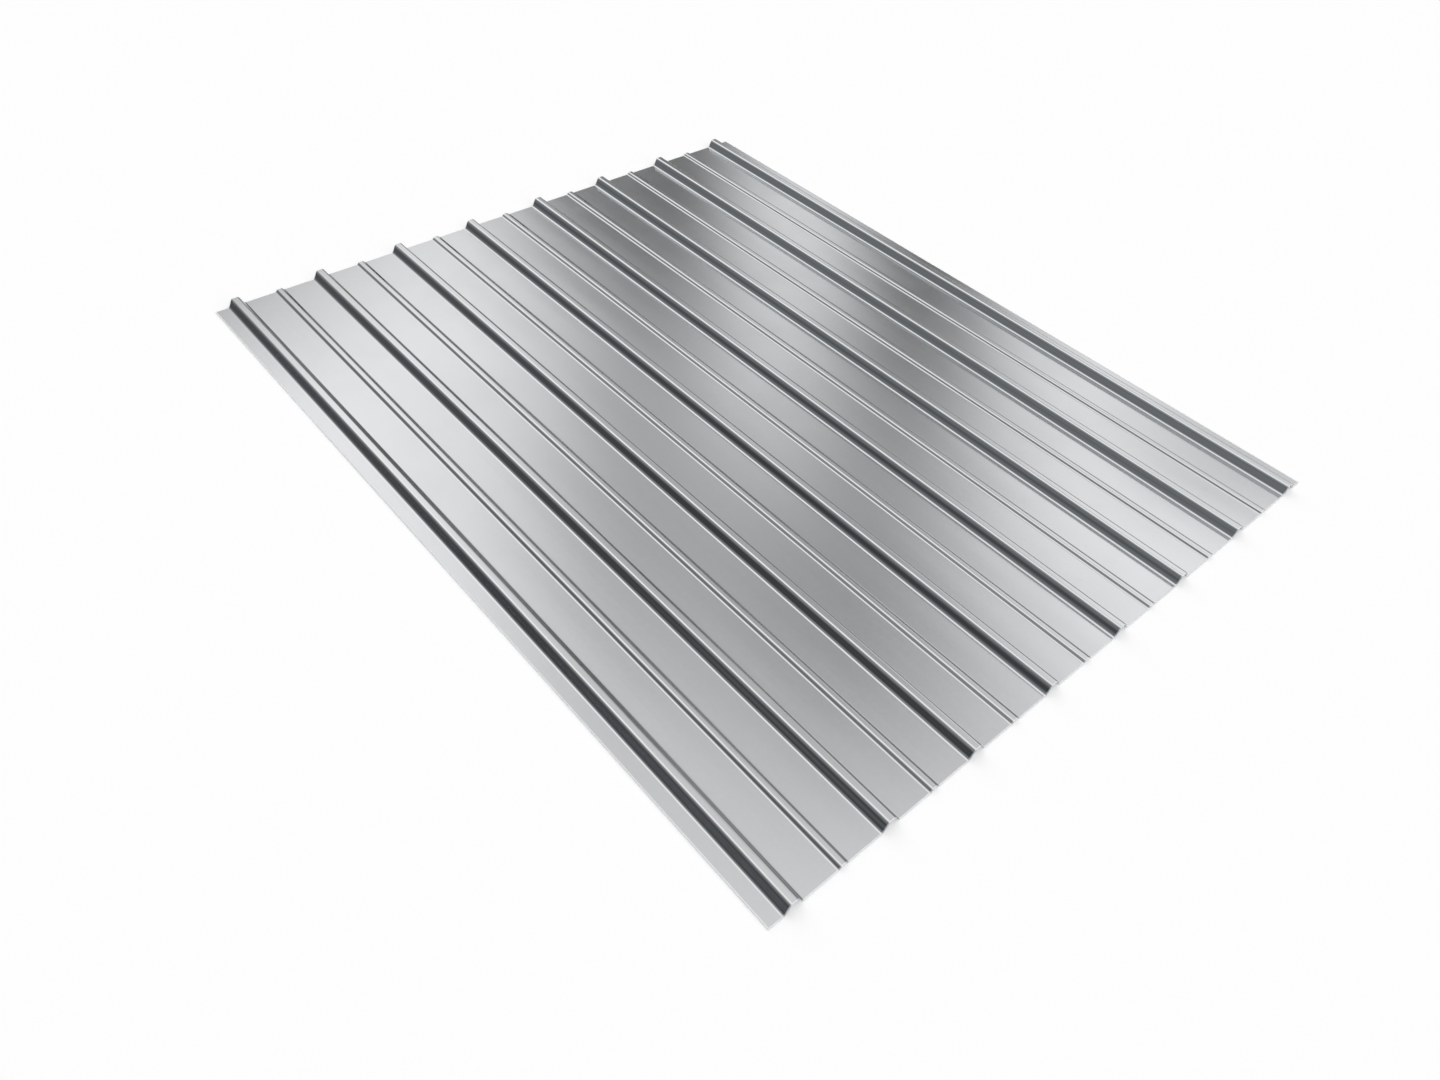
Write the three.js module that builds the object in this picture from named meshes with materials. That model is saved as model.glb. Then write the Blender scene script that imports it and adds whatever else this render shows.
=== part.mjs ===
import * as THREE from 'three';

// One roll-formed, zinc-coated steel cladding sheet, lying flat. Narrow
// trapezoidal ribs run along the sheet, a low stiffening rib runs down the middle
// of each pan between them, and a flat flange is left outside the first and the
// last rib for the side laps. The whole section is one strip of constant gauge,
// so every bend has two concentric faces.
//
// Millimetres. X is across the ribs, Y along them and Z up. The origin lies on
// the plane that the pans rest on, below the middle of the sheet.

// Driving dimensions
const gauge = 0.6;
const sheetLength = 1350;
const ribCount = 8;
const ribPitch = 150;

// Main ribs. Widths are taken on the middle line of the metal, between corners
// of the section as if its bends were sharp. The depth is over the whole section.
const ribDepth = 15;
const ribBase = 26;
const ribCrest = 12;
const ribBendRadius = 5;

// Low ribs that stiffen the pans
const stiffenerRise = 4;
const stiffenerBase = 14.5;
const stiffenerCrest = 7.5;
const stiffenerBendRadius = 4.5;

// Flat flange from the foot of an outer rib to the long edge
const lapFlange = 23;

// Facets round one bend, always an even number
const bendFacets = 8;

// Heights of the middle line of the metal
const panHeight = gauge / 2;
const ribCrestHeight = ribDepth - gauge / 2;
const stiffenerCrestHeight = panHeight + stiffenerRise;

// A corner of the middle line, with the radius of its bend on that line.
// An end of the line has no bend.
function corner(x, z, innerRadius = null) {
  const bendRadius = innerRadius === null ? 0 : innerRadius + gauge / 2;
  return { point: new THREE.Vector2(x, z), bendRadius };
}

// The four corners of one rib, from its left foot to its right foot.
function ribCorners(centre, base, crest, crestHeight, innerRadius) {
  return [
    corner(centre - base / 2, panHeight, innerRadius),
    corner(centre - crest / 2, crestHeight, innerRadius),
    corner(centre + crest / 2, crestHeight, innerRadius),
    corner(centre + base / 2, panHeight, innerRadius),
  ];
}

// The middle line of the metal, from the left long edge to the right one.
function middleLine() {
  const firstRib = (-(ribCount - 1) * ribPitch) / 2;
  const lastRib = -firstRib;
  const line = [corner(firstRib - ribBase / 2 - lapFlange, panHeight)];
  for (let i = 0; i < ribCount; i++) {
    const centre = firstRib + i * ribPitch;
    line.push(...ribCorners(centre, ribBase, ribCrest, ribCrestHeight, ribBendRadius));
    if (i < ribCount - 1) {
      const panMiddle = centre + ribPitch / 2;
      line.push(
        ...ribCorners(
          panMiddle,
          stiffenerBase,
          stiffenerCrest,
          stiffenerCrestHeight,
          stiffenerBendRadius,
        ),
      );
    }
  }
  line.push(corner(lastRib + ribBase / 2 + lapFlange, panHeight));
  return line;
}

// Adds the face that lies half a gauge to the left of the line, walked in order.
function addLeftFace(outline, line) {
  const leftOf = (direction) => new THREE.Vector2(-direction.y, direction.x);
  const along = (from, to) => to.point.clone().sub(from.point).normalize();

  line.forEach((bend, i) => {
    const isStart = i === 0;
    const isEnd = i === line.length - 1;
    if (isStart || isEnd) {
      const direction = isStart ? along(bend, line[1]) : along(line[i - 1], bend);
      const end = bend.point.clone().addScaledVector(leftOf(direction), gauge / 2);
      outline.push(end);
      return;
    }
    const arriving = along(line[i - 1], bend);
    const leaving = along(bend, line[i + 1]);
    const turn = Math.atan2(arriving.cross(leaving), arriving.dot(leaving));
    const side = Math.sign(turn);
    const setback = bend.bendRadius * Math.tan(Math.abs(turn) / 2);
    const centre = bend.point
      .clone()
      .addScaledVector(arriving, -setback)
      .addScaledVector(leftOf(arriving), side * bend.bendRadius);
    const faceRadius = bend.bendRadius - (side * gauge) / 2;
    const startAngle = leftOf(arriving).multiplyScalar(-side).angle();
    const arc = new THREE.EllipseCurve(
      centre.x,
      centre.y,
      faceRadius,
      faceRadius,
      startAngle,
      startAngle + turn,
      turn < 0,
    );
    outline.push(...arc.getPoints(bendFacets));
  });
}

// The closed section: the upper face from left to right, then the underside back.
function sheetSection() {
  const line = middleLine();
  const outline = [];
  addLeftFace(outline, line);
  addLeftFace(outline, line.toReversed());
  return new THREE.Shape(outline);
}

function profiledSheet() {
  const geometry = new THREE.ExtrudeGeometry(sheetSection(), {
    depth: sheetLength,
    bevelEnabled: false,
  });
  // The section is drawn in X and Y and grows along Z: stand its height on Z and
  // centre its length on the origin.
  geometry.rotateX(Math.PI / 2);
  geometry.translate(0, sheetLength / 2, 0);

  const material = new THREE.MeshStandardMaterial({
    color: 0xc6c9cb,
    roughness: 0.32,
    metalness: 1,
  });
  const sheet = new THREE.Mesh(geometry, material);
  sheet.name = 'profiled_sheet';
  return sheet;
}

const part = new THREE.Group();
part.add(profiledSheet());

export default part;
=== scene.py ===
# %% [markdown]
# # A roll-formed steel sheet
#
# This lesson dresses one profiled cladding sheet of zinc-coated steel. The solid
# model of the sheet is loaded first and gives every outer size. The sheet that is
# seen is then rolled again in Geometry Nodes from the same section, with finer
# steps in its bends and with pans that aren't quite flat. It gets a metal finish
# and lies on a pale studio floor, under a white ceiling with grey cloths below it.
#
# The steps are: the frame, the section, a few helpers, the rolled sheet, its
# finish, the floor, the light and the camera. Everything is in metres. X runs
# across the ribs, Y runs along them, and Z points up.

import math

import bpy
from mathutils import Matrix, Vector


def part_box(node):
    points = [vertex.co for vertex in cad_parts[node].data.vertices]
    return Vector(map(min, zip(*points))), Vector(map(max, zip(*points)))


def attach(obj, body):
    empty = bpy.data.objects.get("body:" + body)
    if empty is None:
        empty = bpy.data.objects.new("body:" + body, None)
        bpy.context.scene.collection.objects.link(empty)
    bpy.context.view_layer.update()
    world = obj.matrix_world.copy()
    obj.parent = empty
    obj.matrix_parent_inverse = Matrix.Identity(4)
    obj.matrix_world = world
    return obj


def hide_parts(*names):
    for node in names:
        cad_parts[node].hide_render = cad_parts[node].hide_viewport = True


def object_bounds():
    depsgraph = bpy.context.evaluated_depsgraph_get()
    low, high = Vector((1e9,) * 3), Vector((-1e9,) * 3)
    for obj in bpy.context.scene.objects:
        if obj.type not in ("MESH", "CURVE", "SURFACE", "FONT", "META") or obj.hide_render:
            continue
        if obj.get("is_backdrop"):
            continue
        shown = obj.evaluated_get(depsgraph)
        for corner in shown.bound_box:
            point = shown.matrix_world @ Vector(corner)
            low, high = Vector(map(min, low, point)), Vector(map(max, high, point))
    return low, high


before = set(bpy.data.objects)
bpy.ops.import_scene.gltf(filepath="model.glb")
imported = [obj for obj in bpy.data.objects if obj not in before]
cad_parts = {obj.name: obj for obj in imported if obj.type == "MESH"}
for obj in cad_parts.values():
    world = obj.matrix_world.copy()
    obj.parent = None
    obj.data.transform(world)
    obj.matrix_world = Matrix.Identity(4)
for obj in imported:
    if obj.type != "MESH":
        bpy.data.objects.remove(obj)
cad_low, cad_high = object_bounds()
sheet_low, sheet_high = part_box("profiled_sheet")
sheet_width, sheet_length, sheet_depth = sheet_high - sheet_low
print(f"The sheet is {sheet_width:.4f} x {sheet_length:.4f} x {sheet_depth:.4f} m")

# %% [markdown]
# ## The section, in numbers
#
# A roll former bends a flat strip in one pass, so the section is one line of
# constant thickness. It can be described by its corners, as if every bend was
# sharp, and by the radius that each corner is then rounded to. The widths are
# taken on the middle line of the metal, as a maker's drawing of rolls does. They
# are kept here as names, so that the node tree has no bare numbers in it.

# %% Sizes of the section
MILLIMETRE = 0.001
GAUGE = 0.6 * MILLIMETRE

RIB_COUNT = 8
RIB_PITCH = 150 * MILLIMETRE
RIB_BASE = 26 * MILLIMETRE
RIB_CREST = 12 * MILLIMETRE
RIB_RISE = sheet_depth - GAUGE
RIB_BEND = 5 * MILLIMETRE + GAUGE / 2

# The low ribs that stiffen the pans
STIFFENER_BASE = 14.5 * MILLIMETRE
STIFFENER_CREST = 7.5 * MILLIMETRE
STIFFENER_RISE = 4 * MILLIMETRE
STIFFENER_BEND = 4.5 * MILLIMETRE + GAUGE / 2

lap_flange = (sheet_width - (RIB_COUNT - 1) * RIB_PITCH - RIB_BASE) / 2
print(f"A flange {lap_flange / MILLIMETRE:.1f} mm wide is left on each side")

# %% [markdown]
# ## Helpers for node trees
#
# The shape, the finish and the light are node trees, and all three are mostly
# arithmetic. Adding Math nodes by hand hides that arithmetic, so a small class
# wraps one output socket and lets it be used in a Python expression. Each
# operator adds its Math node. Any other node comes from `add`, which makes the
# node's own settings first, because they decide which sockets it has.

# %% A socket that can be used in expressions
class Wire:
    """One output socket of a node tree."""

    def __init__(self, socket):
        self.socket = socket
        self.tree = socket.id_data

    def math(self, operation, *others, clamp=False):
        settings = {"operation": operation, "use_clamp": clamp}
        values = dict(enumerate((self, *others)))
        return add(self.tree, "ShaderNodeMath", settings, values)

    def __add__(self, other):
        return self.math("ADD", other)

    def __sub__(self, other):
        return self.math("SUBTRACT", other)

    def __mul__(self, other):
        return self.math("MULTIPLY", other)

    def __truediv__(self, other):
        return self.math("DIVIDE", other)

    def __gt__(self, other):
        return self.math("GREATER_THAN", other)

    def __lt__(self, other):
        return self.math("LESS_THAN", other)

    def __abs__(self):
        return self.math("ABSOLUTE")

    def __neg__(self):
        return self * -1

    __radd__ = __add__
    __rmul__ = __mul__

    def __rsub__(self, other):
        return (-self) + other

    def __rpow__(self, base):
        power = {"operation": "POWER"}
        return add(self.tree, "ShaderNodeMath", power, {0: base, 1: self})

    def floor(self):
        return self.math("FLOOR")

    def sine(self):
        return self.math("SINE")

    def clamp(self):
        return self.math("ADD", 0, clamp=True)

    def clamp_to(self, low, high):
        return self.math("MAXIMUM", low).math("MINIMUM", high)

    def bell(self):
        """1 where this is 0, and falling off to both sides."""
        return math.e ** (-(self * self))


# %% A node with its settings and inputs
def add(tree, kind, settings=None, inputs=None, output=0):
    """Adds a node and gives its output, or each one that a tuple names.

    A setting is a value, or what a new item of the node's own list holds. An
    input is a number, a colour or a wire, by the name or the place of its socket.
    """
    node = tree.nodes.new(kind)
    for name, value in (settings or {}).items():
        items = getattr(node, name)
        if hasattr(items, "new"):
            items.new(*value)
        else:
            setattr(node, name, value)
    for key, value in (inputs or {}).items():
        if isinstance(value, Wire):
            tree.links.new(value.socket, node.inputs[key])
        else:
            node.inputs[key].default_value = value
    if isinstance(output, tuple):
        return tuple(Wire(node.outputs[key]) for key in output)
    return Wire(node.outputs[output]) if node.outputs else node


# %% Short names for what is used most
def ramp(value, low, high):
    """0 where the wire is below low, 1 above high, and smooth between them."""
    smooth = {"interpolation_type": "SMOOTHSTEP"}
    ends = {"Value": value, "From Min": low, "From Max": high}
    return add(value.tree, "ShaderNodeMapRange", smooth, ends)


def blend(low, high, mask):
    """Low where the mask is 0 and high where it is 1."""
    return mask * (high - low) + low


def axes(wire):
    """The three parts of a vector."""
    return add(wire.tree, "ShaderNodeSeparateXYZ", None, {0: wire}, ("X", "Y", "Z"))


def vector(tree, x, y, z):
    """A vector of three parts, which are numbers or wires."""
    return add(tree, "ShaderNodeCombineXYZ", None, {0: x, 1: y, 2: z})


# %% [markdown]
# ## Rolling the sheet
#
# The sheet could be drawn as a profile and extruded, with every point typed in.
# Geometry Nodes suit it better, because its shape follows a rule. The first and
# the last point of the section are the sheet's two long edges. Between them,
# point number i belongs to rib or stiffener (i - 1) // 4, and its place there is
# (i - 1) % 4: left foot, left shoulder, right shoulder, right foot.
#
# The tree makes a line of points, moves each to its corner by that rule, turns
# the line into a curve and rounds the corners with Fillet Curve. The long flats
# are then cut into short steps, so that the pans can be crowned.

# %% The named sizes of the tree
SIZES = {
    "Rib Pitch": RIB_PITCH,
    "Rib Base": RIB_BASE,
    "Rib Crest": RIB_CREST,
    "Rib Rise": RIB_RISE,
    "Rib Bend": RIB_BEND,
    "Stiffener Base": STIFFENER_BASE,
    "Stiffener Crest": STIFFENER_CREST,
    "Stiffener Rise": STIFFENER_RISE,
    "Stiffener Bend": STIFFENER_BEND,
    "Gauge": GAUGE,
    "Width": sheet_width,
    "Length": sheet_length,
    "Pan Crown": 0.22 * MILLIMETRE,
}
COUNTS = {"Rib Count": RIB_COUNT, "Bend Steps": 10, "Length Steps": 46, "Seed": 3}


def add_socket(tree, name, kind, side="INPUT"):
    return tree.interface.new_socket(name, in_out=side, socket_type=kind)


def new_roller():
    """A tree with its named sockets, and a wire from each input."""
    tree = bpy.data.node_groups.new("roll_former", "GeometryNodeTree")
    for name, value in SIZES.items():
        add_socket(tree, name, "NodeSocketFloat").default_value = value
    for name, value in COUNTS.items():
        add_socket(tree, name, "NodeSocketInt").default_value = value
    add_socket(tree, "Finish", "NodeSocketMaterial")
    add_socket(tree, "Sheet", "NodeSocketGeometry", "OUTPUT")
    names = (*SIZES, *COUNTS, "Finish")
    wires = add(tree, "NodeGroupInput", output=names)
    return tree, dict(zip(names, wires))


roller, size = new_roller()
print(f"The roll former takes {len(size)} named inputs")

# %% The corners of the section
CORNERS = 4
MIDDLE_CORNER = (CORNERS - 1) / 2


def section_line(tree, size):
    """The corners, joined by straight lines, and which of them are a rib's."""
    half_pitch = size["Rib Pitch"] / 2
    count = (size["Rib Count"] * 2 - 1) * CORNERS + 2
    number = add(tree, "GeometryNodeInputIndex")
    turn = number - 1
    group = (turn / CORNERS).floor()
    corner = turn - group * CORNERS

    # Even groups are ribs and odd ones are stiffeners.
    is_rib = 1 - (group / 2 - (group / 2).floor()) * 2
    at_shoulder = abs(corner - MIDDLE_CORNER) < 1
    side = (corner > MIDDLE_CORNER) * 2 - 1
    foot_width = blend(size["Stiffener Base"], size["Rib Base"], is_rib)
    top_width = blend(size["Stiffener Crest"], size["Rib Crest"], is_rib)
    rise = blend(size["Stiffener Rise"], size["Rib Rise"], is_rib)
    middle = (group - size["Rib Count"] + 1) * half_pitch
    across = middle + side * blend(foot_width, top_width, at_shoulder) / 2

    is_start = number < 1
    is_end = number > count - 2
    is_edge = is_start + is_end
    edge = (is_end - is_start) * size["Width"] / 2
    x = blend(across, edge, is_edge)
    z = size["Gauge"] / 2 + at_shoulder * (1 - is_edge) * rise

    line = add(tree, "GeometryNodeMeshLine", None, {"Count": count})
    moved = {"Geometry": line, "Position": vector(tree, x, 0, z)}
    return add(tree, "GeometryNodeSetPosition", None, moved), is_rib


# %% Rounded corners
def rounded_section(tree, size):
    """The middle line of the metal, as a curve with rounded corners."""
    line, is_rib = section_line(tree, size)
    bends = {
        "Curve": add(tree, "GeometryNodeMeshToCurve", None, {"Mesh": line}),
        "Count": size["Bend Steps"],
        "Radius": blend(size["Stiffener Bend"], size["Rib Bend"], is_rib),
    }
    return add(tree, "GeometryNodeFilletCurve", {"mode": "POLY"}, bends)


section = rounded_section(roller, size)
print(f"Corners and bends take {len(roller.nodes)} nodes")

# %% [markdown]
# ### Bends and flats
#
# A point lies inside a bend where both steps next to it are short. That is stored
# on the sheet as the attribute `bend`, because the zinc is stretched there and the
# finish has to know. It is captured before the flats are cut, so that the cuts
# can't change it.

# %% Steps along the section
BEND_STEP_LIMIT = 1 * MILLIMETRE
FLAT_STEP = 10 * MILLIMETRE


def neighbour_distance(tree, step):
    """How far the neighbouring point of a curve is."""
    place = add(tree, "GeometryNodeInputPosition")
    number = add(tree, "GeometryNodeInputIndex")
    on_points = {"data_type": "FLOAT_VECTOR", "domain": "POINT"}
    looked_up = {"Index": number + step, "Value": place}
    other = add(tree, "GeometryNodeFieldAtIndex", on_points, looked_up)
    distance = {"operation": "DISTANCE"}
    return add(tree, "ShaderNodeVectorMath", distance, {0: place, 1: other}, "Value")


def stepped_section(tree, section):
    """The section with its flats cut in steps, and which points are bent."""
    ahead = neighbour_distance(tree, 1)
    behind = neighbour_distance(tree, -1)
    in_bend = (ahead < BEND_STEP_LIMIT) * (behind < BEND_STEP_LIMIT)
    rounded, bend = add(
        tree,
        "GeometryNodeCaptureAttribute",
        {"capture_items": ("FLOAT", "Bend")},
        {"Geometry": section, "Bend": in_bend},
        ("Geometry", "Bend"),
    )
    cuts = {"Curve": rounded, "Cuts": (ahead / FLAT_STEP).floor()}
    return add(tree, "GeometryNodeSubdivideCurve", None, cuts), bend


stepped, bend = stepped_section(roller, section)
print(f"With the steps it has {len(roller.nodes)} nodes")

# %% [markdown]
# ## From the section to a sheet
#
# The sheet is a grid. It has one column for each point of the section and one
# row for each step of its length, and every grid point looks up its column's
# place on the section. That keeps all the faces in straight rows, which reflect
# cleanly.
#
# Thin sheet is never quite flat. Rolling leaves the pans slightly crowned, by a
# tenth of a millimetre or two, more in one place than in another. On bright metal
# the reflections show it at once. The pans could be pushed up by hand. Here the
# crown is a noise in long waves, held to zero at the ribs and stiffeners, and it
# only lifts the pan, so that the sheet still rests on its lowest plane.

# %% The crown of the pans
# Waves for each metre, the noise at which a pan stays flat and is fully crowned,
# and the heights between which the crown fades out on the way up a rib.
CROWN_WAVES_ACROSS, CROWN_WAVES_ALONG = 9, 3.2
FLAT_NOISE, CROWNED_NOISE = 0.25, 0.75
CROWN_FADES, CROWN_GONE = 0.1 * MILLIMETRE, 1.5 * MILLIMETRE


def pan_crown(tree, size, x, y, z):
    """How far a point of the pan is lifted."""
    half_pitches = x / (size["Rib Pitch"] / 2) + size["Rib Count"] / 2
    between = (half_pitches * math.pi).sine()
    arch = between * between
    in_pan = 1 - ramp(z - size["Gauge"] / 2, CROWN_FADES, CROWN_GONE)
    waves = add(
        tree,
        "ShaderNodeTexNoise",
        {"noise_dimensions": "4D"},
        {
            "Vector": vector(tree, x * CROWN_WAVES_ACROSS, y * CROWN_WAVES_ALONG, 0),
            "W": size["Seed"],
            "Scale": 1.0,
            "Detail": 1.0,
        },
    )
    return size["Pan Crown"] * arch * in_pan * ramp(waves, FLAT_NOISE, CROWNED_NOISE)


# %% The grid that takes the section
# Added to a quotient before its fraction is cut off, so that rounding can't turn
# a whole number into the one below.
QUOTIENT_MARGIN = 0.001


def look_up(section, column, kind, value):
    """A value of the section's point that has this column's number."""
    on_points = {"data_type": kind, "domain": "POINT"}
    wanted = {"Geometry": section, "Value": value, "Index": column}
    return add(section.tree, "GeometryNodeSampleIndex", on_points, wanted)


def rolled_surface(tree, size, section, bend):
    """The middle surface of the metal."""
    columns = add(
        tree,
        "GeometryNodeAttributeDomainSize",
        {"component": "CURVE"},
        {"Geometry": section},
        "Point Count",
    )
    rows = size["Length Steps"] + 1
    points = {"Size X": 1, "Size Y": 1, "Vertices X": columns, "Vertices Y": rows}
    grid = add(tree, "GeometryNodeMeshGrid", None, points)

    number = add(tree, "GeometryNodeInputIndex")
    column = (number / rows + QUOTIENT_MARGIN).floor()
    row = number - column * rows
    place = add(tree, "GeometryNodeInputPosition")
    x, _, z = axes(look_up(section, column, "FLOAT_VECTOR", place))
    y = (row / size["Length Steps"] - 0.5) * size["Length"]
    lift = pan_crown(tree, size, x, y, z)

    on_points = {"data_type": "FLOAT", "domain": "POINT"}
    in_column = look_up(section, column, "FLOAT", bend)
    marks = {"Geometry": grid, "Name": "bend", "Value": in_column}
    marked = add(tree, "GeometryNodeStoreNamedAttribute", on_points, marks)
    moved = {"Geometry": marked, "Position": vector(tree, x, y, z + lift)}
    return add(tree, "GeometryNodeSetPosition", None, moved)


# %% The end of the tree
def end_tree(tree, size, surface):
    """Smooths the surface and gives it its finish."""
    smooth = add(tree, "GeometryNodeSetShadeSmooth", None, {0: surface})
    whole = add(tree, "GeometryNodeRealizeInstances", None, {0: smooth})
    finish = {"Geometry": whole, "Material": size["Finish"]}
    dressed = add(tree, "GeometryNodeSetMaterial", None, finish)
    add(tree, "NodeGroupOutput", None, {"Sheet": dressed})


end_tree(roller, size, rolled_surface(roller, size, stepped, bend))
print(f"The whole roll former has {len(roller.nodes)} nodes")

# %% [markdown]
# ## The zinc finish
#
# New zinc-coated steel is a bright, slightly cool metal. It isn't a mirror: the
# skin-pass rolls leave it faintly matt, with fine lines along the strip, and the
# zinc freezes in small crystals, each tilted by a hair.
#
# A picture of zinc could be laid over the model. Patterns that nodes work out are
# used instead, because they have no seams, and each can be tied to a cause and to
# a real size. They read the sheet's own coordinates, so they stay where they are
# when it moves. All of them are faint, and what shows most is how they soften and
# shift the reflections.

# %% Lines and crystals
# How many lines there are in a metre across the strip and along it, and how many
# crystals.
FINE_ACROSS, FINE_ALONG = 1400, 6
BROAD_ACROSS, BROAD_ALONG = 160, 1.5
CRYSTALS = 260.0


def emptied(owner):
    """The node tree of a material or a world, with nothing in it."""
    owner.use_nodes = True
    owner.node_tree.nodes.clear()
    return owner.node_tree


def noise(where, scale, detail, roughness=0.5):
    grain = {"Scale": scale, "Detail": detail, "Roughness": roughness}
    solid = {"noise_dimensions": "3D"}
    return add(where.tree, "ShaderNodeTexNoise", solid, {"Vector": where, **grain})


zinc = bpy.data.materials.new("zinc_coated_steel")
coat = emptied(zinc)
place = add(coat, "ShaderNodeTexCoord", output="Object")
across, along, height = axes(place)

# The height is added, so that the lines run on over the sides of the ribs.
strip = across + height
fine_place = vector(coat, strip * FINE_ACROSS, along * FINE_ALONG, 0)
broad_place = vector(coat, strip * BROAD_ACROSS, along * BROAD_ALONG, 0)
fine_lines = noise(fine_place, 1.0, detail=3.0)
broad_lines = noise(broad_place, 1.0, detail=2.0)

crystals = add(
    coat,
    "ShaderNodeTexVoronoi",
    {"feature": "F1", "voronoi_dimensions": "3D"},
    {"Vector": place, "Scale": CRYSTALS, "Randomness": 1.0},
    "Color",
)
# Each crystal has a random colour, whose three parts are a shade and two tilts.
parts = ("Red", "Green", "Blue")
shade, tilt_x, tilt_y = add(
    coat, "ShaderNodeSeparateColor", None, {0: crystals}, parts
)
print(f"Lines and crystals take {len(coat.nodes)} nodes")

# %% [markdown]
# ### Marks of use
#
# Handling leaves cloudy smears, other sheets in a stack rub the crests, and each
# bend stretches the coating. A cut edge gets a rougher band with a painted
# highlight, a lighter colour that stands for the glint the edge catches, and on
# the cut face the bare steel shows. These marks could be painted by hand.
# Masks are used instead, which come from where a point lies: near the top, near
# an edge, in a bend.

# %% Smears, rubbed crests, bends and cut edges
SMEARS = 7.0
SMEAR_START, SMEAR_FULL = 0.42, 0.68
CREST_START, CREST_FULL = 0.93 * sheet_depth, 0.985 * sheet_depth
RUB_START, RUB_FULL = 0.48, 0.62
# How far from a cut edge the rougher band with its painted highlight, and the cut
# face, reach.
EDGE_FULL, EDGE_END = 0.9 * MILLIMETRE, 2.0 * MILLIMETRE
CUT_FULL, CUT_END = 0.02 * MILLIMETRE, 0.10 * MILLIMETRE

clouds = noise(place, SMEARS, detail=4.0, roughness=0.6)
smears = ramp(clouds, SMEAR_START, SMEAR_FULL)
on_crest = ramp(height, CREST_START, CREST_FULL)
rubbed = on_crest * ramp(fine_lines, RUB_START, RUB_FULL)
in_bend = add(coat, "ShaderNodeAttribute", {"attribute_name": "bend"}, None, "Fac")

from_side = sheet_width / 2 - abs(across)
from_end = sheet_length / 2 - abs(along)
from_cut = from_side.math("MINIMUM", from_end)
# The band along the cut edges, which is rougher and gets a painted highlight.
near_cut = 1 - ramp(from_cut, EDGE_FULL, EDGE_END)
cut_face = 1 - ramp(from_cut, CUT_FULL, CUT_END)
print(f"With the marks of use it has {len(coat.nodes)} nodes")

# %% [markdown]
# ### The steep sides of the ribs
#
# The steep sides are painted darker than the pans, and so are the bends that face
# right: painted shade, which stands for the dim reflections that they show. A mask
# finds them by the normal: a surface is steep where the normal's upward part is
# small.
#
# The nearest sides would also mirror the white floor at their foot. They could be
# modelled at another slope, but the section would then no longer be the solid's.
# So only their shading is leaned, towards the sky, by about 10 degrees in the
# middle of a side and by more towards its bends. A side then mirrors the dim
# screen that stands on the left.

# %% Sides, and bends that face right
# The normal's upward part at slopes of 60 and 45 degrees, and its part to the
# right where a bend starts to get its painted shade and where it has it wholly.
STEEP_FULL, STEEP_START = 0.50, 0.71
RIGHT_START, RIGHT_FULL = 0.12, 0.42
# What is added to the upward part in the middle of a side, and how much more at
# the ends of its flat, where half that flat's height is 4.2 mm. The lean goes on
# growing a little way past them, into the bends.
SIDE_LEAN, SIDE_LEAN_MORE = 0.215, 0.20
SIDE_FLAT, SIDE_LIMIT = 4.2 * MILLIMETRE, 1.2

face = add(coat, "ShaderNodeNewGeometry", output="Normal")
facing_right, _, facing_up = axes(face)
steep = 1 - ramp(abs(facing_up), STEEP_FULL, STEEP_START)
# Where the bends that face right get their painted shade.
right_painted_shade = ramp(facing_right, RIGHT_START, RIGHT_FULL)

from_middle = (height - sheet_depth / 2) / SIDE_FLAT
from_middle = from_middle.clamp_to(-SIDE_LIMIT, SIDE_LIMIT)
more = from_middle * from_middle * SIDE_LEAN_MORE
side_lean = steep * facing_up.math("SIGN") * (SIDE_LEAN + more)
side_slope = math.degrees(math.atan2(RIB_RISE, (RIB_BASE - RIB_CREST) / 2))
print(f"The sides of the ribs rise at {side_slope:.0f} degrees")

# %% [markdown]
# ### Colour, roughness and relief
#
# The base colour of a metal is the share of the light that it mirrors. A darker
# one dims the reflections, and a rougher surface blurs them. One value for each
# would do, but the sheet would look like plastic film. So the patterns change
# both by a few hundredths, and the masks set the worn places, the painted
# highlight at the cut edges and the painted shade of the steep sides and of the
# bends that face right. The tilt of the crystals goes into the normal, and the
# lines go into a Bump node.

# %% What the patterns change
# The middle of a pattern that runs from 0 to 1.
MIDDLE = 0.5
PATTERNS = {
    "crystals": shade - MIDDLE,
    "broad lines": broad_lines - MIDDLE,
    "fine lines": fine_lines - MIDDLE,
    "smears": smears,
    "rubbed": rubbed,
    "bends": in_bend,
}


def varied(value, changes):
    """A value, moved by each pattern as far as its change says."""
    for name, change in changes.items():
        value = value + PATTERNS[name] * change
    return value


print("Patterns:", ", ".join(PATTERNS))

# %% Colour
CLEAN_LEVEL = 0.72
LEVEL_CHANGES = {
    "crystals": 0.010,
    "broad lines": 0.020,
    "fine lines": 0.010,
    "smears": -0.012,
    "bends": -0.02,
}
# Painted shade for the bends that face right and for the steep sides.
RIGHT_PAINTED_SHADE, STEEP_PAINTED_SHADE = 0.44, 0.42
RUBBED_LEVEL, RUBBED_SHARE = 0.78, 0.4
# The painted highlight along the cut edges.
EDGE_PAINTED_HIGHLIGHT, EDGE_HIGHLIGHT_SHARE = 0.97, 0.9
CUT_LEVEL = 0.45
# Zinc is a little blue. The steep sides are bluer still, a painted tint that goes
# with their painted shade.
COOL_RED, COOL_GREEN, COOL_BLUE = 0.982, 0.997, 1.013
STEEP_PAINTED_TINT = 0.05

level = varied(CLEAN_LEVEL, LEVEL_CHANGES)
# Painted shade: the bends that face right are made darker.
level = blend(level, RIGHT_PAINTED_SHADE, right_painted_shade)
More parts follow.
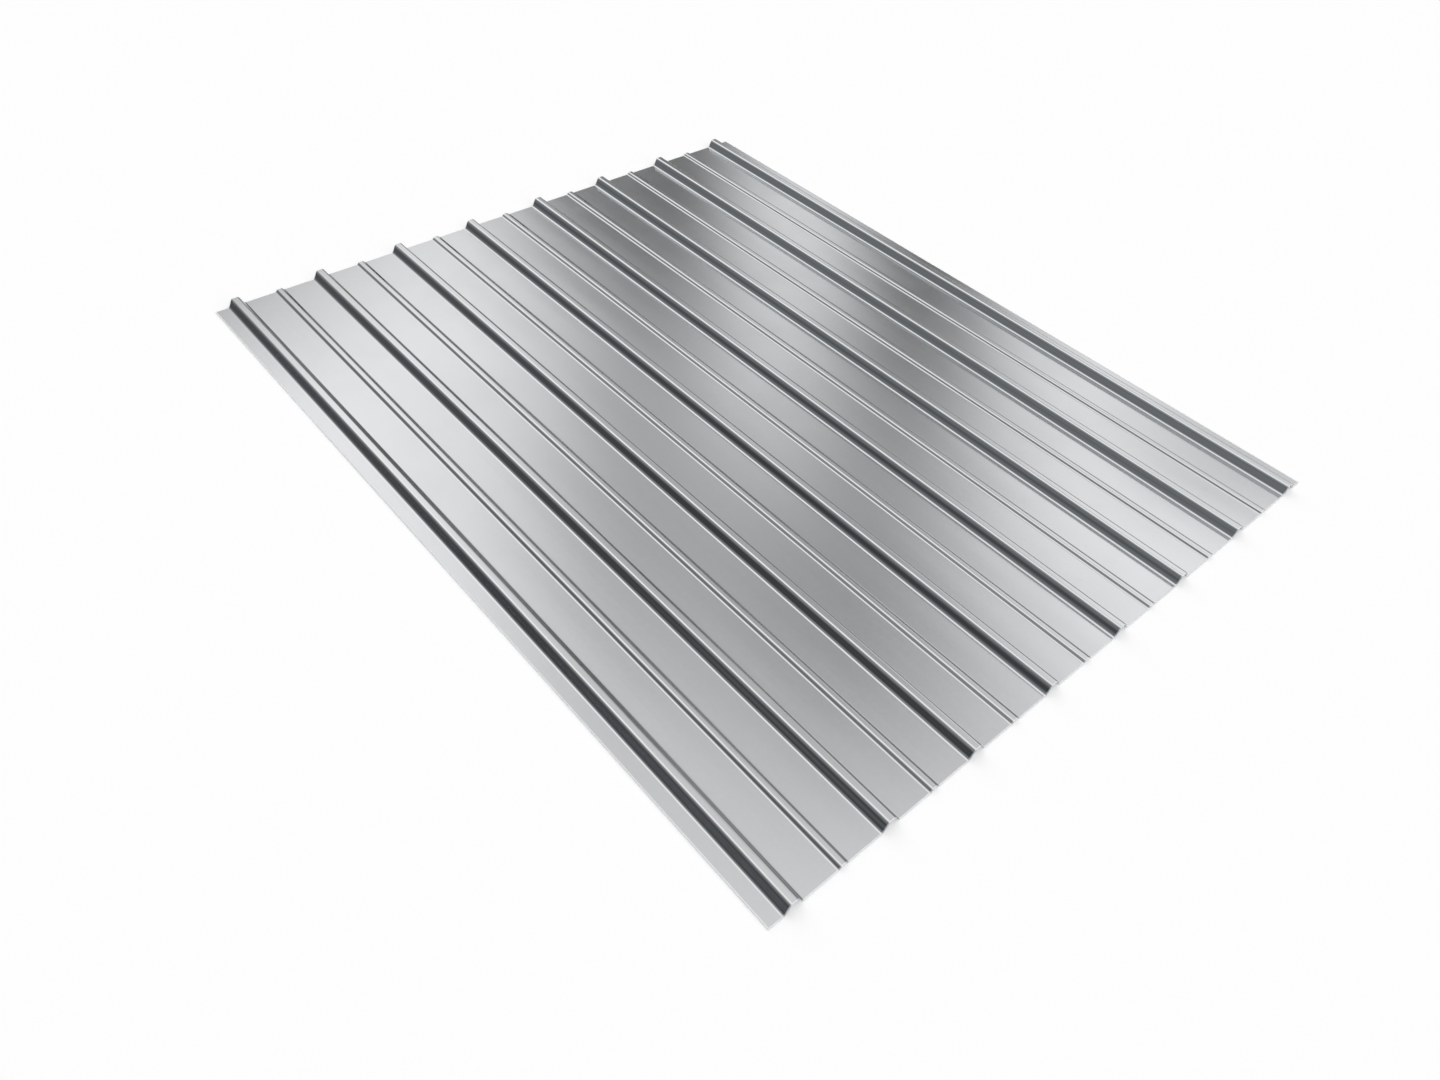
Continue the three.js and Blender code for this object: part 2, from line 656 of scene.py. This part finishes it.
# Painted shade: the steep sides are made darker.
level = blend(level, STEEP_PAINTED_SHADE, steep)
level = blend(level, RUBBED_LEVEL, rubbed * RUBBED_SHARE)
# Painted highlight: a lighter band along each cut edge.
level = blend(level, EDGE_PAINTED_HIGHLIGHT, near_cut * EDGE_HIGHLIGHT_SHARE)
level = blend(level, CUT_LEVEL, cut_face)
# Painted shade: the steep sides are also made bluer.
red = level * (COOL_RED - steep * STEEP_PAINTED_TINT)
green = level * COOL_GREEN
blue = level * (COOL_BLUE + steep * STEEP_PAINTED_TINT)
colour = add(coat, "ShaderNodeCombineColor", None, {0: red, 1: green, 2: blue})
print(f"Clean zinc mirrors {CLEAN_LEVEL:.0%}, a steep side {STEEP_PAINTED_SHADE:.0%}")

# %% Roughness and relief
CLEAN_ROUGHNESS, EDGE_ROUGHNESS = 0.12, 0.55
ROUGHNESS_CHANGES = {
    "crystals": 0.015,
    "broad lines": 0.03,
    "smears": 0.03,
    "rubbed": 0.06,
    "bends": 0.03,
}
CRYSTAL_TILT = 0.003
FINE_RELIEF, BROAD_RELIEF = 0.6, 0.4
RELIEF_STRENGTH, RELIEF_DEPTH = 0.08, 0.03 * MILLIMETRE

roughness = varied(CLEAN_ROUGHNESS, ROUGHNESS_CHANGES)
roughness = blend(roughness, EDGE_ROUGHNESS, near_cut)

crystal_x = (tilt_x - MIDDLE) * CRYSTAL_TILT
crystal_y = (tilt_y - MIDDLE) * CRYSTAL_TILT
tilt = vector(coat, crystal_x, crystal_y, side_lean)
tilted = add(coat, "ShaderNodeVectorMath", {"operation": "ADD"}, {0: face, 1: tilt})
normal = add(coat, "ShaderNodeVectorMath", {"operation": "NORMALIZE"}, {0: tilted})
relief = {
    "Strength": RELIEF_STRENGTH,
    "Distance": RELIEF_DEPTH,
    "Height": fine_lines * FINE_RELIEF + broad_lines * BROAD_RELIEF,
    "Normal": normal,
}
steel = {
    "Base Color": colour,
    "Metallic": 1.0,
    "Roughness": roughness,
    "Normal": add(coat, "ShaderNodeBump", None, relief),
}
shader = add(coat, "ShaderNodeBsdfPrincipled", None, steel)
add(coat, "ShaderNodeOutputMaterial", None, {"Surface": shader})
print(f"The whole finish has {len(coat.nodes)} nodes")

# %% [markdown]
# ## Thickening and trimming
#
# The tree gives the middle surface only. Solidify then grows it by half a gauge
# to each side, which keeps the two faces of a bend about one centre, and closes
# the rim. A very small Bevel takes the razor edge off the cut, because no real
# edge is perfectly sharp and a rounded one catches the light. Weighted Normal
# lets the large flat faces decide the shading next to the rim and the bends. The
# result is turned into a plain mesh, and the modifiers are left behind.

# %% Modifiers
TRIM_WIDTH, TRIM_STEPS = 0.1 * MILLIMETRE, 2
TRIM_ANGLE = math.radians(60)
LARGE_FACE_WEIGHT = 100


def set_inputs(modifier, values):
    """Sets the tree's named inputs, each by the identifier of its socket."""
    for item in modifier.node_group.interface.items_tree:
        if item.item_type == "SOCKET" and item.name in values:
            modifier[item.identifier] = values[item.name]


def add_modifiers(blank):
    rolling = blank.modifiers.new("rolling", "NODES")
    rolling.node_group = roller
    set_inputs(rolling, {**SIZES, **COUNTS, "Finish": zinc})

    metal = blank.modifiers.new("metal", "SOLIDIFY")
    metal.thickness = GAUGE
    metal.offset = 0.0
    metal.use_even_offset = True
    metal.use_rim = True

    trim = blank.modifiers.new("trim", "BEVEL")
    trim.width = TRIM_WIDTH
    trim.segments = TRIM_STEPS
    trim.limit_method = "ANGLE"
    trim.angle_limit = TRIM_ANGLE

    shading = blank.modifiers.new("shading", "WEIGHTED_NORMAL")
    shading.mode = "FACE_AREA"
    shading.weight = LARGE_FACE_WEIGHT


# %% Make the sheet
def roll_sheet():
    """The finished sheet as a plain mesh."""
    blank = bpy.data.objects.new("blank", bpy.data.meshes.new("blank"))
    bpy.context.scene.collection.objects.link(blank)
    add_modifiers(blank)
    graph = bpy.context.evaluated_depsgraph_get()
    mesh = bpy.data.meshes.new_from_object(
        blank.evaluated_get(graph), preserve_all_data_layers=True, depsgraph=graph
    )
    bpy.data.objects.remove(blank)
    mesh.name = "rolled_sheet"
    return mesh


rolled = bpy.data.objects.new("rolled_sheet", roll_sheet())
bpy.context.scene.collection.objects.link(rolled)
rolled.data.calc_loop_triangles()
print(f"The sheet has {len(rolled.data.loop_triangles)} triangles")
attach(rolled, "root")
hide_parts("profiled_sheet")

# %% [markdown]
# ## The floor
#
# A plain white floor, so wide that its edge is far outside the picture. It could
# touch the sheet, but two faces in one plane show through each other in patches.
# So it lies 1.5 mm lower, and the thin line of shadow round the sheet still says
# that the sheet rests on it.
#
# The floor also glows a little, so that it looks white without more light on the
# sheet. Light Path keeps the glow to the rays that see the floor, straight or
# mirrored, so that it casts no light of its own.

# %% Floor
FLOOR_HALF = 30.0
FLOOR_GAP = 1.5 * MILLIMETRE
FLOOR_WHITE = (0.94, 0.94, 0.94, 1.0)
FLOOR_GLOW = 0.28


def floor_paint():
    material = bpy.data.materials.new("floor_paint")
    tree = emptied(material)
    paint = add(tree, "ShaderNodeBsdfDiffuse", None, {"Color": FLOOR_WHITE})
    rays = ("Is Camera Ray", "Is Glossy Ray", "Is Transmission Ray")
    camera, glossy, through = add(tree, "ShaderNodeLightPath", output=rays)
    seen = (camera + glossy + through).clamp()
    glow = add(tree, "ShaderNodeEmission", None, {"Strength": seen * FLOOR_GLOW})
    whole = add(tree, "ShaderNodeAddShader", None, {0: paint, 1: glow})
    add(tree, "ShaderNodeOutputMaterial", None, {"Surface": whole})
    return material


def pale_floor():
    mesh = bpy.data.meshes.new("floor")
    corners = [(-1, -1), (1, -1), (1, 1), (-1, 1)]
    places = [(x * FLOOR_HALF, y * FLOOR_HALF, -FLOOR_GAP) for x, y in corners]
    mesh.from_pydata(places, [], [(0, 1, 2, 3)])
    mesh.materials.append(floor_paint())
    floor = bpy.data.objects.new("floor", mesh)
    bpy.context.scene.collection.objects.link(floor)
    return floor


pale_floor()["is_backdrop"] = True
print(f"The floor is {2 * FLOOR_HALF:.0f} m wide and {FLOOR_GAP / MILLIMETRE} mm down")

# %% [markdown]
# ## The light
#
# Metal shows what is round it, so it is lit by choosing what it should reflect.
# Lamps and cards could be stood round the sheet. One world shader does the same
# and is easier to tune: it works out a light for each direction that a ray can
# leave in. A white ceiling lights the floor and gives the pans their brightness.
#
# An even ceiling would leave the pans blank. So five soft grey flags hang under
# it, as cloth is hung in a light tent, and they pass over the pans as broad soft
# bands. Each is placed by where a ray crosses a ceiling one metre up.

# %% A white ceiling with flags under it
CEILING = 1.11
# Keeps the place on the ceiling near by, for rays that are almost level.
LOWEST_UP = 0.05
# Where a flag's middle is, how many degrees it is turned, half its size along and
# across that turn, and the share of the light that it takes away.
FLAGS = {
    "long": {"middle": (1.68, 1.92), "turn": 47, "half": (1.69, 0.161), "depth": 0.87},
    "near": {"middle": (1.49, 1.01), "turn": 35, "half": (1.11, 0.175), "depth": 0.82},
    "small": {"middle": (0.69, 0.53), "turn": 9, "half": (0.227, 0.435), "depth": 0.39},
    "far": {"middle": (1.11, 1.58), "turn": 60, "half": (0.417, 0.177), "depth": 0.75},
    "corner": {"middle": (1.42, 0.34), "turn": 0, "half": (0.17, 0.186), "depth": 0.39},
}


def behind_flag(light, at_x, at_y, middle, turn, half, depth):
    """The light that is left where a soft flag hangs before it."""
    cosine, sine = math.cos(math.radians(turn)), math.sin(math.radians(turn))
    from_x, from_y = at_x - middle[0], at_y - middle[1]
    lengthwise = from_x * cosine + from_y * sine
    crosswise = from_y * cosine - from_x * sine
    cover = (lengthwise / half[0]).bell() * (crosswise / half[1]).bell()
    return (1 - cover * depth) * light


studio = bpy.data.worlds.new("studio")
sky = emptied(studio)
to_right, to_far, up = axes(add(sky, "ShaderNodeTexCoord", output="Generated"))
above = up.math("MAXIMUM", LOWEST_UP)
ceiling_x, ceiling_y = to_right / above, to_far / above
flagged = CEILING
for flag in FLAGS.values():
    flagged = behind_flag(flagged, ceiling_x, ceiling_y, **flag)
print(f"{len(FLAGS)} flags hang under the ceiling")

# %% [markdown]
# ### Lean
#
# Every flat and bend of the section runs along Y. What it mirrors is therefore
# set by how far a direction is turned about Y, away from straight up. The sine
# of that turn is called lean here: -1 is level to the left, and 1 to the right.
# The ceiling gets a brighter strip overhead, and darkness at the far end.

# %% The strip overhead and the dark end
OVERHEAD, OVERHEAD_WIDTH = 0.22, 0.20
DARK_START, DARK_FULL = 0.74, 0.92
# Keeps the division below from failing for a ray straight along the ribs.
SMALLEST = 0.0001

not_along = (1 - to_far * to_far).math("MAXIMUM", SMALLEST).math("SQRT")
lean = to_right / not_along
ceiling = flagged + OVERHEAD * (lean / OVERHEAD_WIDTH).bell()
ceiling = (1 - ramp(to_far, DARK_START, DARK_FULL)) * ceiling
print(f"The ceiling is at {CEILING}, and {OVERHEAD} brighter overhead")

# %% [markdown]
# ### Two screens
#
# The ribs are drawn by what their sides mirror. The steep sides that face the
# camera look at a dim screen on the left, with a brighter upper part, and turn
# dark. The screen is a little brighter at its near foot and low down at its far
# end, and it has one darker fold. The bends and sides that face right look at a
# screen on the right, which is bright near the camera and dark at the far end.
#
# Two numbers in brackets say where a soft change starts and where it is whole.

# %% The left screen
LEFT_EDGE = (0.15, 0.58)
LEFT_LOW, LEFT_HIGH, LEFT_RISE = 0.095, 0.34, (-0.92, -0.78)
NEAR_FOOT, NEAR_FOOT_LEAN, NEAR_FOOT_END = 0.11, (0.95, 0.985), (0.35, 0.60)
FAR_PART, FAR_PART_LEAN, FAR_PART_START = 0.07, (0.80, 0.90), (0.50, 0.80)
FOLD, FOLD_LEAN, FOLD_WIDTH = 0.30, -0.64, 0.06

left = blend(LEFT_LOW, LEFT_HIGH, ramp(lean, *LEFT_RISE))
near_foot = NEAR_FOOT * ramp(-lean, *NEAR_FOOT_LEAN)
near_foot = near_foot * (1 - ramp(to_far, *NEAR_FOOT_END))
far_part = FAR_PART * ramp(-lean, *FAR_PART_LEAN) * ramp(to_far, *FAR_PART_START)
left = left + near_foot + far_part
left = (1 - FOLD * ((lean - FOLD_LEAN) / FOLD_WIDTH).bell()) * left
with_left = blend(ceiling, left, ramp(-lean, *LEFT_EDGE))
print(f"The left screen goes from {LEFT_LOW} at its foot to {LEFT_HIGH}")

# %% The right screen
RIGHT_EDGE = (0.80, 0.975)
RIGHT_NEAR, RIGHT_MIDDLE, RIGHT_FAR = 0.32, 0.09, 0.01
TO_MIDDLE, TO_FAR = (0.36, 0.52), (0.66, 0.74)

right = blend(RIGHT_NEAR, RIGHT_MIDDLE, ramp(to_far, *TO_MIDDLE))
right = blend(right, RIGHT_FAR, ramp(to_far, *TO_FAR))
with_screens = blend(with_left, right, ramp(lean, *RIGHT_EDGE))
print(f"The right screen goes from {RIGHT_NEAR} near the camera to {RIGHT_FAR}")

# %% [markdown]
# ### The rest of the studio
#
# Seen from the camera, the sheet mirrors only what is ahead of it. So the studio
# behind the camera, and straight along the ribs, can be plain: one ceiling and
# two screens with no parts in them, which suit the other sides of the sheet.
# The last 9 degrees above the horizon fade into dark walls all round.

# %% Behind the camera, and the walls
PLAIN_LOW, PLAIN_HIGH, PLAIN_RISE = 0.26, 0.36, (-0.95, -0.78)
AHEAD_START, AHEAD_END = (-0.15, 0.08), (0.84, 0.93)
WALL = (0.058, 0.061, 0.065, 1.0)
WALL_TOP, CEILING_START = -0.02, 0.16
# The Mix node's colour sockets, by place, because its names are used twice.
COLOUR_A, COLOUR_B, MIXED_COLOUR = 6, 7, 2

plain_left = blend(PLAIN_LOW, PLAIN_HIGH, ramp(lean, *PLAIN_RISE))
plain = blend(CEILING, plain_left, ramp(-lean, *LEFT_EDGE))
plain = blend(plain, RIGHT_MIDDLE, ramp(lean, *RIGHT_EDGE))
ahead = ramp(to_far, *AHEAD_START) * (1 - ramp(to_far, *AHEAD_END))
light = blend(plain, with_screens, ahead)

walled = {
    "Factor": ramp(up, WALL_TOP, CEILING_START),
    COLOUR_A: WALL,
    COLOUR_B: vector(sky, light, light, light),
}
shown = add(sky, "ShaderNodeMix", {"data_type": "RGBA"}, walled, MIXED_COLOUR)
background = {"Color": shown, "Strength": 1.0}
lit = add(sky, "ShaderNodeBackground", None, background)
add(sky, "ShaderNodeOutputWorld", None, {"Surface": lit})
bpy.context.scene.world = studio
print(f"The studio has {len(sky.nodes)} nodes")

# %% [markdown]
# ## The camera
#
# The camera stands off the near left corner, about a metre up, and looks down on
# a point between that corner and the middle of the sheet. It leans a little to
# one side, which turns the sheet in the picture. The lens is a wide one: the near
# ribs look large, and the far ones run closer together.

# %% Camera
CAMERA_PLACE = Vector((-0.9594, -0.9467, 1.0560))
CAMERA_AIM = Vector((-0.2363, -0.2248, 0.0))
CAMERA_LEAN = math.radians(5.678)
LENS = 26.512
SENSOR_WIDTH = 36.0
NEAREST, FARTHEST = 0.01, 100.0


def place_camera():
    data = bpy.data.cameras.new("camera")
    data.sensor_fit = "HORIZONTAL"
    data.sensor_width = SENSOR_WIDTH
    data.lens = LENS
    data.clip_start = NEAREST
    data.clip_end = FARTHEST
    camera = bpy.data.objects.new("camera", data)
    bpy.context.scene.collection.objects.link(camera)
    turn = (CAMERA_AIM - CAMERA_PLACE).to_track_quat("-Z", "Y").to_matrix().to_4x4()
    roll = Matrix.Rotation(CAMERA_LEAN, 4, "Z")
    camera.matrix_world = Matrix.Translation(CAMERA_PLACE) @ turn @ roll
    return camera


bpy.context.scene.camera = place_camera()
bpy.context.scene.view_settings.view_transform = "Standard"
view_angle = math.degrees(2 * math.atan(SENSOR_WIDTH / 2 / LENS))
print(f"The camera sees {view_angle:.1f} degrees from side to side")

# %% [markdown]
# ## Sizes, and the end
#
# Both boxes are measured here, and the farthest that what is seen goes past the
# solid model's box is printed. What is seen has to fill the box of the solid
# model, to a hair.

# %% Sizes, and the end
seen_low, seen_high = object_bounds()
past = max(*(cad_low - seen_low), *(seen_high - cad_high))
print(f"The sheet goes at most {past / MILLIMETRE:.4f} mm past the solid")
